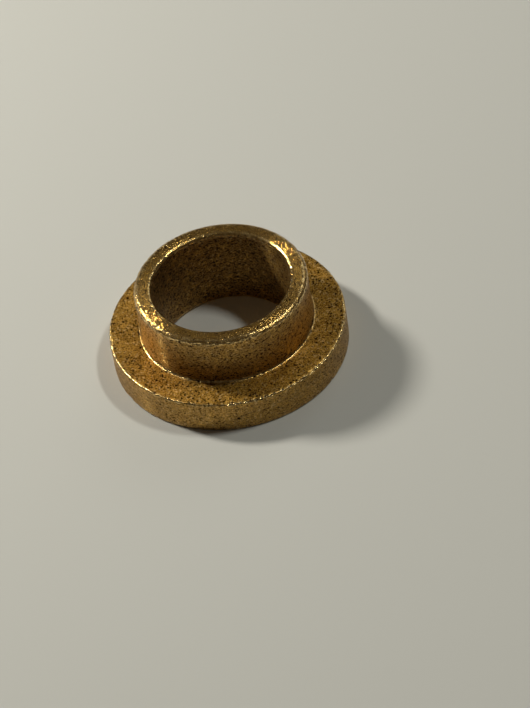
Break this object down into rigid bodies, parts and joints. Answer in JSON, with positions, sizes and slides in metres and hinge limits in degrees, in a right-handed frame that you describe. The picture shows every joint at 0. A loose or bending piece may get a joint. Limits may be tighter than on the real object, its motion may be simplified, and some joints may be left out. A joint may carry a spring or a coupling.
{
  "type": "flanged sleeve bushing",
  "caption": "Short sintered bronze sleeve bushing with a thick round flange at one end, a plain through bore and broken edges.",
  "frame": {"origin": "centre of the flange's underside, on the bore axis", "axes": "+Z along the bore axis, from the flange towards the sleeve's free end; +X and +Y lie in the flange's plane and are free to choose, because the part is round"},
  "size_m": [0.022, 0.022, 0.0082],
  "materials": {
    "sintered_bronze": "as-sintered bronze, semi-gloss, with fine open pores"
  },
  "bodies": {
    "root": {"flanged_bushing": "sintered_bronze"}
  },
  "joints": []
}
